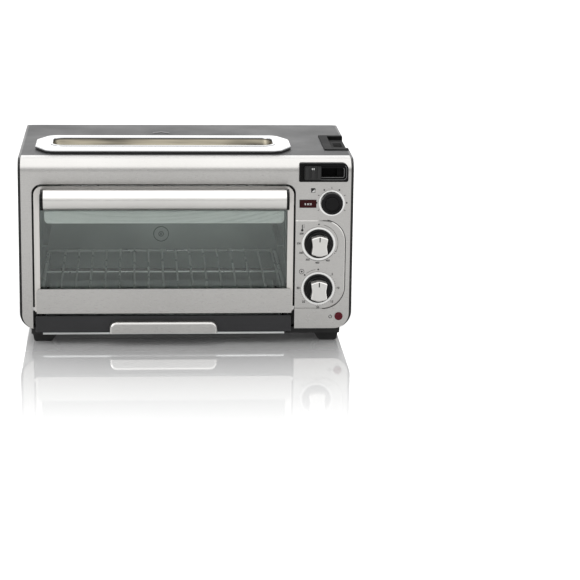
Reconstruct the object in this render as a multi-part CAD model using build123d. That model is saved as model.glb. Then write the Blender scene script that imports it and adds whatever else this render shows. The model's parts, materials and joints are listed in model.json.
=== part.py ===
from build123d import *
import os

# Countertop toaster oven with a long toast slot in its top.
# Millimetres. x runs to the right, y to the back, z up; the origin is at the bottom centre.
# Depths (d) count backwards from the front plane of the steel fascia.

# ---- driving dimensions -------------------------------------------------------------------
BODY_WIDTH = 420.0
BODY_DEPTH = 265.0
BODY_BOTTOM = 20.0
BODY_TOP = 238.0
HANDLE_REACH = 38.0
SPACER_REACH = 12.0
FRONT = HANDLE_REACH - (HANDLE_REACH + BODY_DEPTH + SPACER_REACH) / 2
HALF = BODY_WIDTH / 2

SHEET = 1.0
SHELL = 2.8
RETURN = 191.5
BEND = 16.0
FOOT_HEIGHT = 12.0
FOOT_RADIUS = 22.0

OPENING_LEFT = -193.3
OPENING_RIGHT = 137.3
OPENING_TOP = 206.7
OPENING_RADIUS = 12.0
DOOR_CENTRE = (OPENING_LEFT + OPENING_RIGHT) / 2
DOOR_HALF = 162.8
DOOR_TOP = 204.3

HINGE_D = 3.2
HINGE_Z = 47.0
PIN_RADIUS = 1.9
RUNNING = 0.05

CAVITY_LEFT = -186.0
CAVITY_RIGHT = 130.0
CAVITY_FRONT = 11.0
CAVITY_BACK = 255.0
CAVITY_TOP = 210.0
RACK_Z = 66.0
RING_X, RING_Z = -29.3, 88.0
RACK_FIRST = -159.4
RACK_PITCH = 18.7
UPPER_LEDGE = 101.0
TRAY_LEFT = -181.0
TRAY_RIGHT = 124.5

SLOT_LEFT = -169.6
SLOT_RIGHT = 113.2
SLOT_D = 106.0
SLOT_MOUTH = 60.0
THROAT = 44.0
BEZEL_LEFT = -191.3
BEZEL_RIGHT = 135.7
BEZEL_FRONT = 42.5
BEZEL_REAR = 154.5
BEZEL_TOP = 243.0

ROD_X = 160.0
ROD_RADIUS = 3.0
CARRIAGE_Z = 165.0
CARRIAGE_TRAVEL = 75.0
SPRING_FOOT = 31.0
LEVER_X = 189.0
LEVER_FRONT = 79.0
LEVER_REAR = 166.0
LEVER_FLOOR = 140.0

TEMP_X, TEMP_Z = 166.8, 131.0
TIMER_X, TIMER_Z = 166.8, 73.0
SHADE_X, SHADE_Z = 182.5, 183.0
LAMP_X, LAMP_Z = 193.8, 35.8
SHAFT_RADIUS = 3.0
CANCEL = (142.3, 162.9, 177.0, 186.6)
SELECTOR = (141.0, 203.0, 210.0, 234.0)
CHANNEL = (148.0, 197.0, 216.5, 227.5)
FIELD = (46.0, 160.8)
FIELD_RISE = 1.4

ELEMENT_RADIUS = 3.5
ELEMENTS = [(62.0, 50.0), (196.0, 50.0), (45.0, 200.0), (170.0, 200.0)]
SCREW_SPOTS = [(side * 198.0, z) for side in (-1, 1) for z in (48.0, 130.0, 212.0)]


# ---- small builders ----------------------------------------------------------------------
def block(x0, x1, d0, d1, z0, z1):
    """Box between two x values, two depths and two heights."""
    centre = Pos((x0 + x1) / 2, FRONT + (d0 + d1) / 2, (z0 + z1) / 2)
    return centre * Box(x1 - x0, d1 - d0, z1 - z0)


def rod_x(x0, x1, d, z, r):
    return Pos((x0 + x1) / 2, FRONT + d, z) * Rot(0, 90, 0) * Cylinder(r, x1 - x0)


def rod_y(x, d0, d1, z, r):
    return Pos(x, FRONT + (d0 + d1) / 2, z) * Rot(90, 0, 0) * Cylinder(r, d1 - d0)


def rod_z(x, d, z0, z1, r):
    return Pos(x, FRONT + d, (z0 + z1) / 2) * Cylinder(r, z1 - z0)


def outline(points, radii):
    """Flat face through the points; each corner is rounded by its own radius, 0 keeps it sharp."""
    face = Polygon(*points, align=None)
    for point, radius in zip(points, radii):
        if radius:
            face = fillet(face.vertices().sort_by_distance((*point, 0))[0], radius)
    return face


def panel(x0, x1, y0, y1, radii):
    """Rectangle with four corner radii, from the lower left corner anticlockwise."""
    return outline([(x0, y0), (x1, y0), (x1, y1), (x0, y1)], radii)


def front_plate(face, d0, d1):
    """Raise a face drawn in x and z between two depths."""
    return extrude(Plane.XZ.offset(-(FRONT + d1)) * face, amount=d1 - d0)


def side_plate(face, x0, x1):
    """Raise a face drawn in d and z between two x values."""
    return extrude(Plane.YZ.offset(x0) * Pos(FRONT, 0) * face, amount=x1 - x0)


def top_plate(face, z0, z1):
    """Raise a face drawn in x and d between two heights."""
    return extrude(Plane.XY.offset(z0) * Pos(0, FRONT) * face, amount=z1 - z0)


def group(solids):
    return Compound(children=[solid.solid() for solid in solids])


def save(name, shape):
    export_step(shape, f"parts/{name}.step")


# ---- outer casing ------------------------------------------------------------------------
def fascia():
    """Stainless front sheet that rolls over the top edge, with the door opening and controls."""
    edge = HALF - SHELL - 0.4
    wrap = 31.0
    outer = panel(0, wrap, BODY_BOTTOM, BODY_TOP, (0, 0, 0, BEND))
    inner = panel(SHEET, wrap + 1, BODY_BOTTOM - 1, BODY_TOP - SHEET, (0, 0, 0, BEND - SHEET))
    sheet = side_plate(outer - inner, -edge, edge)
    corner = FOOT_RADIUS - SHELL
    sheet &= front_plate(panel(-edge, edge, BODY_BOTTOM, BODY_TOP, (corner, corner, 0, 0)), -1, wrap)
    field = front_plate(panel(OPENING_RIGHT - 4, 200.5, *FIELD, (0, 28, 28, 0)), -FIELD_RISE, 0.5)
    sheet += chamfer(field.faces().sort_by(Axis.Y)[0].edges(), FIELD_RISE - 0.2)
    hem = panel(OPENING_LEFT - SHEET, OPENING_RIGHT + SHEET, BODY_BOTTOM + 3, OPENING_TOP + SHEET,
                (0, 0, OPENING_RADIUS + SHEET, OPENING_RADIUS + SHEET))
    sheet += front_plate(hem, 0.5, 9.0)
    opening = panel(OPENING_LEFT, OPENING_RIGHT, BODY_BOTTOM - 1, OPENING_TOP,
                    (0, 0, OPENING_RADIUS, OPENING_RADIUS))
    sheet -= front_plate(opening, -2, 10)
    for x, z, r in ((TEMP_X, TEMP_Z, 4.5), (TIMER_X, TIMER_Z, 4.5), (SHADE_X, SHADE_Z, 4.5),
                    (LAMP_X, LAMP_Z, 4.6)):
        sheet -= rod_y(x, -3, 4, z, r)
    x0, x1, z0, z1 = CANCEL
    sheet -= block(x0 - 0.4, x1 + 0.4, -2, 4, z0 - 0.4, z1 + 0.4)
    sheet -= block(147.0, 198.0, -2, 4, 215.0, 229.0)
    for x in (OPENING_LEFT, OPENING_RIGHT):
        sheet -= rod_x(x - 3, x + 3, HINGE_D, HINGE_Z, 2.6)
    return sheet


def casing_block(inset, d0, rear, floor_radius, rear_radius, top):
    """The casing's outer form, or its inner form when inset by the wall thickness."""
    half = HALF - inset
    form = front_plate(panel(-half, half, BODY_BOTTOM + inset, top,
                             (floor_radius, floor_radius, 0, 0)), d0, rear)
    return form & top_plate(panel(-half, half, d0, rear, (0, 0, rear_radius, rear_radius)), 0, top)


def side_panels():
    """Left and right moulded sides: wall, rolled bottom edge and a return round the back."""
    outer = casing_block(0, 1.2, BODY_DEPTH, FOOT_RADIUS, 9.0, BODY_TOP)
    outer &= side_plate(panel(1.2, BODY_DEPTH, 0, BODY_TOP, (0, 0, 4, BEND - 0.6)), -HALF, HALF)
    shell = outer - casing_block(SHELL, -5, BODY_DEPTH - SHELL, FOOT_RADIUS - SHELL, 9 - SHELL, 260)
    left = shell & block(-HALF, -RETURN, -1, BODY_DEPTH, 0, BODY_TOP)
    right = shell & block(RETURN, HALF, -1, BODY_DEPTH, 0, BODY_TOP)
    right -= block(LEVER_X, HALF + 1, LEVER_FRONT - 1.6, LEVER_REAR + 1.6, LEVER_FLOOR - 1.6, 240)
    for x, z in SCREW_SPOTS:
        hole = rod_y(x, BODY_DEPTH - 6, BODY_DEPTH + 1, z, 2.0)
        left, right = left - hole, right - hole
    for row in range(7):
        z = 62.0 + 9.0 * row
        left -= block(-HALF - 1, -HALF + 4, 60, 112, z, z + 3)
        left -= block(-HALF - 1, -HALF + 4, 150, 202, z, z + 3)
        right -= block(HALF - 4, HALF + 1, 185, 237, z, z + 3)
    return left, right


def top_cover():
    edge = HALF - SHELL - 0.1
    cover = top_plate(panel(-edge, edge, 31.3, BODY_DEPTH - SHELL - 0.1, (0, 0, 6, 6)),
                      BODY_TOP - SHEET, BODY_TOP)
    cover -= block(SLOT_LEFT - 2, SLOT_RIGHT + 2, 75, 137, BODY_TOP - 3, BODY_TOP + 1)
    cover -= block(178.2, HALF, 67.2, 173.8, BODY_TOP - 3, BODY_TOP + 1)
    return cover


def back_panel():
    """Recessed rear sheet with rows of vents and the cord hole."""
    rear = BODY_DEPTH - SHELL - 0.1
    back = front_plate(panel(-200.5, 200.5, 23, BODY_TOP - SHEET - 0.1, (18, 18, 0, 0)), rear - SHEET, rear)
    for column in range(6):
        for row in range(5):
            x, z = -155.0 + 46.0 * column, 96.0 + 12.0 * row
            back -= block(x, x + 34, rear - 3, rear + 1, z, z + 4)
    for x, z in SCREW_SPOTS:
        back -= rod_y(x, rear - 3, rear + 1, z, 2.0)
    back -= rod_y(160, rear - 3, rear + 1, 48, 6.0)
    return back


def base_pan():
    """Shallow black pan under the casing; its low front edge lets the crumb tray slide over it."""
    pan = block(-196, 196, 8, 259, FOOT_HEIGHT, BODY_BOTTOM)
    pan -= block(-194.5, 194.5, 9.5, 257.5, FOOT_HEIGHT + SHEET, BODY_BOTTOM + 1)
    pan -= block(CAVITY_LEFT - SHEET, CAVITY_RIGHT + SHEET, 7, 10, FOOT_HEIGHT + SHEET, 21)
    for row in range(4):
        pan -= block(-150, 90, 70 + 36 * row, 76 + 36 * row, FOOT_HEIGHT - 1, FOOT_HEIGHT + 2)
    return pan


def feet():
    """Four tapered feet, their inner sides slanted more than the outer ones."""
    face = outline([(171, 0), (193, 0), (195, FOOT_HEIGHT), (162, FOOT_HEIGHT)], (3.5, 3.5, 0, 0))
    right = [front_plate(face, d, d + 26) for d in (18, 222)]
    return group(right + [mirror(pad, about=Plane.YZ) for pad in right])


def back_screws():
    screws = []
    for x, z in SCREW_SPOTS:
        head = rod_y(x, BODY_DEPTH, BODY_DEPTH + 2, z, 3.6)
        head -= block(x - 2.4, x + 2.4, BODY_DEPTH + 1, BODY_DEPTH + 3, z - 0.5, z + 0.5)
        head -= block(x - 0.5, x + 0.5, BODY_DEPTH + 1, BODY_DEPTH + 3, z - 2.4, z + 2.4)
        screws.append(head + rod_y(x, BODY_DEPTH - 9, BODY_DEPTH, z, 1.9))
    return group(screws)


def rear_spacers():
    rear = BODY_DEPTH - SHELL - 0.1
    spacers = []
    for x in (-120, 100):
        face = panel(x, x + 30, 196, 216, (5, 5, 5, 5))
        spacers.append(front_plate(face, rear, BODY_DEPTH + SPACER_REACH))
    return group(spacers)


def cord_gland():
    rear = BODY_DEPTH - SHELL - 0.1
    gland = rod_y(160, rear, rear + 3, 48, 9.0) + rod_y(160, rear - 6, rear + 11, 48, 5.9)
    return gland - rod_y(160, rear - 7, rear + 12, 48, 3.6)


# ---- inner structure ---------------------------------------------------------------------
def front_frame():
    """Inner front sheet that joins the cavity walls and carries the controls, with its sill."""
    frame = front_plate(panel(-204, 204, 23, 234, (18, 18, 0, 0)), 10, CAVITY_FRONT)
    frame -= block(CAVITY_LEFT, CAVITY_RIGHT, 9, 12, 22, CAVITY_TOP)
    for x, z, r in ((TEMP_X, TEMP_Z, 5.0), (TIMER_X, TIMER_Z, 5.0), (SHADE_X, SHADE_Z, 5.0),
                    (LAMP_X, LAMP_Z, 6.0)):
        frame -= rod_y(x, 9, 12, z, r)
    x0, x1, z0, z1 = CANCEL
    frame -= block(x0 - 2, x1 + 2, 9, 12, z0 - 2, z1 + 2)
    frame -= block(142, 203, 9, 12, 211, 233)
    for x in (-200, 139):
        frame -= block(x, x + 6.5, 9, 12, 41, 53)
    return frame + block(CAVITY_LEFT, CAVITY_RIGHT, 10, 20, 39.5, 42.0)


def hinge_brackets():
    """Lugs behind the fascia that the door pins turn in."""
    lugs = []
    for x in (-199.5, 139.0):
        lug = block(x, x + 5, 1.2, 12.5, 42, 52)
        lugs.append(lug - rod_x(x - 1, x + 6, HINGE_D, HINGE_Z, PIN_RADIUS + RUNNING))
    return group(lugs)


def cavity_wall(x, inward):
    """Side wall with a lower and an upper rack ledge, and holes for the heating rods."""
    wall = block(min(x, x - inward * SHEET), max(x, x - inward * SHEET), CAVITY_FRONT, CAVITY_BACK,
                 FOOT_HEIGHT + SHEET, CAVITY_TOP + SHEET)
    ledge_end = x + inward * 7
    for front, top in ((24, RACK_Z - 2.4), (SLOT_D + 18, UPPER_LEDGE)):
        wall += block(min(x, ledge_end), max(x, ledge_end), front, 250, top - 2.2, top)
    for d, z in ELEMENTS:
        wall -= rod_x(x - 9, x + 9, d, z, ELEMENT_RADIUS + 1)
    if inward < 0:
        wall -= block(x - 1, x + 3, SLOT_D - 12, SLOT_D + 12, CARRIAGE_Z - CARRIAGE_TRAVEL - 7,
                      CARRIAGE_Z + 8)
    return wall


def cavity_back_wall():
    wall = block(CAVITY_LEFT, CAVITY_RIGHT, CAVITY_BACK, CAVITY_BACK + SHEET,
                 FOOT_HEIGHT + SHEET, CAVITY_TOP + SHEET)
    face, seat = CAVITY_BACK - 1, CAVITY_BACK + 0.5
    ring = rod_y(RING_X, face, seat, RING_Z, 10) - rod_y(RING_X, face - 1, CAVITY_BACK, RING_Z, 8)
    return wall + ring + rod_y(RING_X, face, seat, RING_Z, 3)


def ceiling_plates():
    half = THROAT / 2 + SHEET
    return group([
        block(CAVITY_LEFT, CAVITY_RIGHT, d0, d1, CAVITY_TOP, CAVITY_TOP + SHEET)
        for d0, d1 in ((CAVITY_FRONT, SLOT_D - half), (SLOT_D + half, CAVITY_BACK))
    ])


def heating_elements():
    return group([rod_x(-196, 140, d, z, ELEMENT_RADIUS) for d, z in ELEMENTS])


def ceramic_ends():
    ends = []
    for d, z in ELEMENTS:
        for x0, x1 in ((-199, CAVITY_LEFT - SHEET - 0.1), (CAVITY_RIGHT + SHEET + 0.1, 143)):
            ends.append(rod_x(x0, x1, d, z, 6.5) - rod_x(-196, 140, d, z, ELEMENT_RADIUS))
    return group(ends)


def wire_rack():
    """Rim wire with cross wires and rods that run front to back on top of them."""
    left, right, front, rear = CAVITY_LEFT + 3.5, CAVITY_RIGHT - 3.5, 18.2, 247.0
    rim_path = Plane.XY.offset(RACK_Z) * Pos((left + right) / 2, FRONT + (front + rear) / 2) \
        * RectangleRounded(right - left, rear - front, 12)
    rim_wire = rim_path.face().outer_wire()
    rim = sweep(Plane(rim_wire @ 0, z_dir=rim_wire % 0) * Circle(2.0), path=rim_wire)
    rack = rim
    rack += rod_x(left, right, 120.0, RACK_Z, 1.4)
    for i in range(16):
        rack += rod_y(RACK_FIRST + i * RACK_PITCH, front, rear, RACK_Z + 1.6, 1.3)
    return rack


# ---- toast slot --------------------------------------------------------------------------
def slot_face(x0, x1, width, radius):
    return panel(x0, x1, SLOT_D - width / 2, SLOT_D + width / 2, (radius,) * 4)


def bezel_face(inset):
    """Long ring outline with cut and rounded ends."""
    x0, x1 = BEZEL_LEFT + inset, BEZEL_RIGHT - inset
    d0, d1 = BEZEL_FRONT + inset, BEZEL_REAR - inset
    cut_x, cut_d = 16.0, 32.0
    points = [(x0 + cut_x, d0), (x1 - cut_x, d0), (x1, d0 + cut_d), (x1, d1 - cut_d),
              (x1 - cut_x, d1), (x0 + cut_x, d1), (x0, d1 - cut_d), (x0, d0 + cut_d)]
    return outline(points, (16,) * 8)


def funnel(wall):
    """Tapered sleeve from the mouth of the slot down to the throat."""
    mouth = slot_face(SLOT_LEFT - wall, SLOT_RIGHT + wall, SLOT_MOUTH + 2 * wall, 15 + wall)
    throat = slot_face(SLOT_LEFT + 3 - wall, SLOT_RIGHT - 3 + wall, THROAT + 2 * wall, 10 + wall)
    low, high = 226.0, BEZEL_TOP
    return loft([Plane.XY.offset(low) * Pos(0, FRONT) * throat,
                 Plane.XY.offset(high) * Pos(0, FRONT) * mouth])


def slot_bezel():
    """Pressed ring with a rolled lip round the mouth, and the sleeve that guides the bread."""
    ring = top_plate(bezel_face(0), BEZEL_TOP - 3.2, BEZEL_TOP - 0.8)
    ring = chamfer(ring.edges().group_by(Axis.Z)[-1], 0.9)
    lip = top_plate(slot_face(SLOT_LEFT - 3, SLOT_RIGHT + 3, SLOT_MOUTH + 6, 18),
                    BEZEL_TOP - 2, BEZEL_TOP)
    lip = fillet(lip.edges().group_by(Axis.Z)[-1], 0.7)
    return ring + lip + funnel(SHEET) - funnel(0)


def slot_bezel_base():
    base = top_plate(bezel_face(1.2), BODY_TOP, BEZEL_TOP - 3.2)
    return base - top_plate(slot_face(SLOT_LEFT - 3, SLOT_RIGHT + 3, SLOT_MOUTH + 6, 18),
                            BODY_TOP - 1, BEZEL_TOP)


def chute_plates():
    """Four flat plates that line the slot between the bezel and the cavity."""
    half, low, high = THROAT / 2, 204.0, 225.8
    x0, x1 = SLOT_LEFT - 1, SLOT_RIGHT + 1
    return group([
        block(x0, x1, SLOT_D - half - SHEET, SLOT_D - half, low, high),
        block(x0, x1, SLOT_D + half, SLOT_D + half + SHEET, low, high),
        block(x0, x0 + SHEET, SLOT_D - half, SLOT_D + half, low, high),
        block(x1 - SHEET, x1, SLOT_D - half, SLOT_D + half, low, high),
    ])


def bread_guards():
    """Wire grids that keep the bread off the chute walls."""
    grids = []
    for side in (-1, 1):
        d = SLOT_D + side * (THROAT / 2 - 1.2)
        grid = rod_x(-162, 106, d, 180, 1.3) + rod_x(-162, 106, d, 212, 1.3)
        for i in range(12):
            grid += rod_z(-160 + 24 * i, d - side * 1.2, 178, 224, 1.0)
        grids.append(grid)
    return group(grids)


# ---- bread carriage and lever -------------------------------------------------------------
def bread_carriage():
    """Wire platform under the bread; its two long wires reach through the side wall."""
    grid = None
    for offset in (-8, 8):
        wire = rod_x(-162, 150, SLOT_D + offset, CARRIAGE_Z, 1.5)
        grid = wire if grid is None else grid + wire
    for i in range(14):
        grid += rod_y(-156 + 20 * i, SLOT_D - 14, SLOT_D + 14, CARRIAGE_Z + 2.2, 1.3)
    return grid


def carriage_bracket():
    """Bent steel link from the carriage up to the lever, with the armature foot at its bottom."""
    bracket = block(147, 168.5, SLOT_D - 12, SLOT_D + 12, CARRIAGE_Z - 3.5, CARRIAGE_Z + 3.5)
    bracket += block(168, 170, SLOT_D - 12, SLOT_D + 12, CARRIAGE_Z - 15, 232)
    bracket += block(170, LEVER_X + 1.5, SLOT_D - 3, SLOT_D + 3, 228, 232)
    bracket += block(167.5, 183, SLOT_D - 9, SLOT_D + 9, CARRIAGE_Z - 17, CARRIAGE_Z - 15)
    bracket -= rod_z(ROD_X, SLOT_D, CARRIAGE_Z - 5, CARRIAGE_Z + 5, 5.5)
    for offset in (-8, 8):
        bracket -= rod_x(140, 150, SLOT_D + offset, CARRIAGE_Z, 1.5)
    return bracket


def guide_bush():
    bush = rod_z(ROD_X, SLOT_D, CARRIAGE_Z - 13, CARRIAGE_Z + 13, 5.5)
    return bush - rod_z(ROD_X, SLOT_D, 100, 200, ROD_RADIUS + RUNNING)


def guide_rod():
    return rod_z(ROD_X, SLOT_D, FOOT_HEIGHT + SHEET, 222, ROD_RADIUS)


def rod_mounts():
    """Angle on the cavity wall for the top of the guide rod, and the round seat at its foot."""
    wall = CAVITY_RIGHT + SHEET
    angle = block(wall, 166, SLOT_D - 9, SLOT_D + 9, 216, 218)
    angle += block(wall, wall + 2, SLOT_D - 9, SLOT_D + 9, 188, 217)
    seat = rod_z(ROD_X, SLOT_D, FOOT_HEIGHT + SHEET, SPRING_FOOT, 7.5)
    return group([mount - rod_z(ROD_X, SLOT_D, 10, 220, ROD_RADIUS) for mount in (angle, seat)])


def carriage_spring():
    """Compression spring round the guide rod that lifts the carriage."""
    low, high, wire = SPRING_FOOT + 1.0, CARRIAGE_Z - 13.8, 0.6
    path = Pos(ROD_X, FRONT + SLOT_D, low) * Helix(pitch=6.6, height=high - low, radius=4.5)
    return sweep(Plane(path @ 0, z_dir=path % 0) * Circle(wire), path=path, is_frenet=True)


def latch_magnet():
    """Coil on a steel core that holds the armature foot while the bread toasts."""
    core = block(170, 182, SLOT_D - 10, SLOT_D + 10, FOOT_HEIGHT + SHEET, 70)
    core -= block(169, 183, SLOT_D - 3, SLOT_D + 3, 30, 71)
    coil = block(168, 184, SLOT_D - 12, SLOT_D - 1, 36, 62)
    coil -= block(170, 182, SLOT_D - 10, SLOT_D - 3, 30, 70)
    return group([core, coil])


def lever_insert():
    """Moulded well at the right-hand end of the top, open upwards and to the side."""
    outer = block(LEVER_X - 1.5, HALF - 0.2, LEVER_FRONT - 1.5, LEVER_REAR + 1.5,
                  LEVER_FLOOR - 1.5, BODY_TOP)
    rim = top_plate(panel(178, HALF - 0.6, 67, 174, (3, 1, 1, 3)), BODY_TOP, BODY_TOP + 1.2)
    insert = outer + rim
    insert -= block(LEVER_X, HALF + 1, LEVER_FRONT, LEVER_REAR, LEVER_FLOOR, BODY_TOP + 5)
    return insert - block(LEVER_X - 3, LEVER_X + 1, SLOT_D - 4, SLOT_D + 4, 148, 235)


def lever_knob():
    """Wide paddle that the user presses down, with three raised grip bars."""
    face = panel(LEVER_X + 1.5, HALF - 0.5, LEVER_FRONT + 2, LEVER_REAR - 2, (3, 6, 6, 3))
    knob = top_plate(face, 222, 235)
    knob = fillet(knob.edges().group_by(Axis.Z)[-1], 2.0)
    for i in range(3):
        d = SLOT_D + 16.5 + 8 * (i - 1)
        knob += block(LEVER_X + 5, HALF - 5, d - 1.2, d + 1.2, 234, 236)
    return knob


# ---- door --------------------------------------------------------------------------------
def door_frame():
    left, right = DOOR_CENTRE - DOOR_HALF, DOOR_CENTRE + DOOR_HALF
    frame = front_plate(panel(left, right, 43, DOOR_TOP, (1, 1, 11, 11)), -1.0, 2.4)
    frame -= front_plate(panel(left + 7, right - 7.6, 66, 196, (0, 0, 4, 4)), -2, 3)
    for x, x_end in ((left, left + 2), (right - 2, right)):
        frame -= block(x - 1, x_end, -2, 0, 42, 181)
    return frame


def door_glass():
    left, right = DOOR_CENTRE - DOOR_HALF, DOOR_CENTRE + DOOR_HALF
    return front_plate(panel(left + 3, right - 3, 60, 199, (2, 2, 6, 6)), 2.4, 6.4)


def glass_rail():
    """Pressed cross rail behind the upper part of the glass."""
    rail = front_plate(panel(-178, 123.5, 155.5, 171, (6, 6, 1, 1)), 6.4, 9.4)
    return rail - block(-174, 119.5, 7.6, 10, 158, 169)


def door_panel():
    """Folded steel cover over the bottom rail of the door."""
    shape = front_plate(panel(-188.6, 133.2, 41.6, 73.2, (1, 1, 5, 5)), -4.6, -1.0)
    shape -= front_plate(panel(-187.6, 132.2, 42.6, 72.2, (0.5, 0.5, 4, 4)), -3.6, 0)
    return shape


def handle_bar():
    """Crescent bar between the two handle ends."""
    upper_back, upper_front = (-23.5, 202.2), (-25.5, 204.6)
    lower_front, lower_back = (-28.5, 179.6), (-25.5, 181.2)
    curve = ThreePointArc(upper_front, (-HANDLE_REACH, 192.4), lower_front)
    curve += Line(lower_front, lower_back)
    curve += ThreePointArc(lower_back, (-31.5, 192.6), upper_back)
    curve += Line(upper_back, upper_front)
    return side_plate(make_face(curve), -177.5, 123.5)


def handle_ends():
    """Black end pieces that stand the bar off the door."""
    profile = outline([(-1, 182), (-1, 201), (-24, 205), (-33, 203), (-37, 193), (-34, 181),
                       (-27, 179)], (0, 0, 6, 5, 8, 5, 4))
    return group([side_plate(profile, x, x + 3.6) for x in (-181.1, 123.5)])


def hinge_pins():
    """Stepped pins at the lower corners of the door."""
    pins = []
    left, right = DOOR_CENTRE - DOOR_HALF, DOOR_CENTRE + DOOR_HALF
    for x0, x1, boss0, boss1 in ((-198.5, left + 6, left - 2.0, left),
                                 (right - 6, 143.5, right, right + 1.6)):
        pin = rod_x(x0, x1, HINGE_D, HINGE_Z, PIN_RADIUS)
        pins.append(pin + block(boss0, boss1, -0.4, HINGE_D + 2, HINGE_Z - 2.2, HINGE_Z + 2.2))
    return group(pins)


def rack_hooks():
    """Two small hooks on the door that draw the rack out as the door opens."""
    hooks = []
    for x in (RACK_FIRST + 1.5 * RACK_PITCH, RACK_FIRST + 12.5 * RACK_PITCH):
        arm = block(x - 1, x + 1, 6.4, 28.2, HINGE_Z + 9, HINGE_Z + 12)
        arm += block(x - 1, x + 1, 26.2, 28.2, HINGE_Z + 9, HINGE_Z + 21)
        hooks.append(arm)
    return group(hooks)


# ---- crumb tray --------------------------------------------------------------------------
def tray_pan():
    rear = 240.0
    pan = block(TRAY_LEFT, TRAY_RIGHT, 1, rear, 14.4, 26)
    pan -= block(TRAY_LEFT + 0.8, TRAY_RIGHT - 0.8, 2.5, rear - 0.8, 15.2, 27)
    pan -= block(TRAY_LEFT - 1, TRAY_RIGHT + 1, 0, 2.5, 16.2, 27)
    return pan + block(TRAY_LEFT, TRAY_RIGHT, -2.0, 2.5, 13.9, 16.2)


def tray_front():
    plate = front_plate(panel(-190.2, 133.2, 16.2, 37.6, (2, 2, 3, 3)), -1.5, 2.5)
    return fillet(plate.edges().filter_by(Axis.X).group_by(Axis.Y)[0].sort_by(Axis.Z)[-1], 1.0)


def tray_handle():
    """Hollow pull tab, open at the bottom for the fingertips."""
    tab = front_plate(panel(-97, 39, 17.2, 31.8, (0, 0, 9, 9)), -12.5, -1.5)
    tab = fillet(tab.edges().filter_by(Axis.X).group_by(Axis.Z)[-1].sort_by(Axis.Y)[0], 4.0)
    hollow = front_plate(panel(-95.8, 37.8, 16, 30.6, (0, 0, 7.8, 7.8)), -11.3, -1.4)
    return tab - hollow


# ---- controls ----------------------------------------------------------------------------
def dial_rings():
    """Silver rings round the three knobs, seated on the front."""
    rings = []
    for x, z, seat, inner, outer in ((TEMP_X, TEMP_Z, -FIELD_RISE, 18.9, 21.2),
                                     (TIMER_X, TIMER_Z, -FIELD_RISE, 18.9, 21.2),
                                     (SHADE_X, SHADE_Z, 0.0, 14.3, 16.4)):
        ring = rod_y(x, seat - 2.0, seat, z, outer) - rod_y(x, seat - 3, seat + 1, z, inner)
        rings.append(ring)
    return group(rings)


def front_rounded(disc, radius):
    """Round over the front edge of a disc that faces the user."""
    return fillet(disc.edges().filter_by(GeomType.CIRCLE).sort_by(Axis.Y)[0], radius)


def knob_skirt(x, z):
    """Round black skirt in two steps, with its shaft."""
    rear = -FIELD_RISE - 0.4
    skirt = front_rounded(rod_y(x, -5.6, rear, z, 18.2), 1.3)
    skirt += front_rounded(rod_y(x, -9.0, -5.0, z, 15.6), 1.3)
    return skirt + rod_y(x, rear - 1, 24.0, z, SHAFT_RADIUS)


def knob_grip(x, z):
    """Waisted silver grip bar on the skirt."""
    face = outline([(x - 10.2, z - 10), (x, z - 13.5), (x + 10.2, z - 10), (x + 8.6, z),
                    (x + 10.2, z + 10), (x, z + 13.5), (x - 10.2, z + 10), (x - 8.6, z)],
                   (1.5, 14, 1.5, 12, 1.5, 14, 1.5, 12))
    grip = front_plate(face, -23.0, -9.0)
    return chamfer(grip.faces().sort_by(Axis.Y)[0].edges(), 0.8)


def shade_knob():
    """Black knob with a ring groove round its cap and a pointer bar on the cap."""
    knob = front_rounded(rod_y(SHADE_X, -9.5, -0.6, SHADE_Z, 13.7), 1.6)
    knob -= rod_y(SHADE_X, -10, -7.4, SHADE_Z, 10.4)
    knob += front_rounded(rod_y(SHADE_X, -9.3, -7.0, SHADE_Z, 8.8), 1.2)
    knob += front_plate(panel(SHADE_X - 7.4, SHADE_X - 3, SHADE_Z - 0.8, SHADE_Z + 0.8, (0,) * 4),
                        -9.9, -8.5)
    return knob + rod_y(SHADE_X, -2.0, 20.0, SHADE_Z, SHAFT_RADIUS)


def geared_body(x, z, half_x, half_z, rear, bore_end):
    """Housing of a rotary control with the bore that its shaft turns in."""
    body = block(x - half_x, x + half_x, 12, rear, z - half_z, z + half_z)
    body += rod_y(x, 6, 12, z, 4.2)
    return body - rod_y(x, 5, bore_end, z, SHAFT_RADIUS + RUNNING)


def selector_bezel():
    """Black surround of the slide selector with its long channel."""
    x0, x1, z0, z1 = SELECTOR
    bezel = front_plate(panel(x0, x1, z0, z1, (1.5, 2.5, 8, 2.5)), -1.6, 8)
    bezel -= side_plate(panel(0, 31, BODY_BOTTOM, BODY_TOP, (0, 0, 0, BEND)), x0 - 1, x1 + 1)
    cx0, cx1, cz0, cz1 = CHANNEL
    for margin, radius in ((4.2, 5), (1.5, 3)):
        edge = [panel(cx0 - m, cx1 + m, cz0 - m, cz1 + m, (r,) * 4)
                for m, r in ((margin, radius), (margin - 1.1, radius - 1))]
        bezel += front_plate(edge[0] - edge[1], -2.4, -1.0)
    return bezel - front_plate(panel(cx0, cx1, cz0, cz1, (2,) * 4), -3, 4)


def selector_slider():
    """Ribbed slider cap, with the stem that works the switch behind it."""
    cap = front_plate(panel(147.5, 168.5, 213.0, 230.5, (1.5,) * 4), -5.0, -2.7)
    for i in range(3):
        x = 150.5 + 7.5 * i
        cap += front_plate(panel(x - 1.9, x + 1.9, 214.0, 229.5, (1.2,) * 4), -7.4, -4.8)
    return cap + block(153, 164, -3.5, 5.0, 218, 226)


def selector_switch():
    body = block(144, 201, 2.7, 16, 212, 228)
    return body - block(150, 189, 0, 9, 217, 227)


def cancel_button():
    x0, x1, z0, z1 = CANCEL
    cap = front_plate(panel(x0, x1, z0, z1, (1,) * 4), -2.4, 5.0)
    return chamfer(cap.faces().sort_by(Axis.Y)[0].edges(), 0.5)


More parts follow.
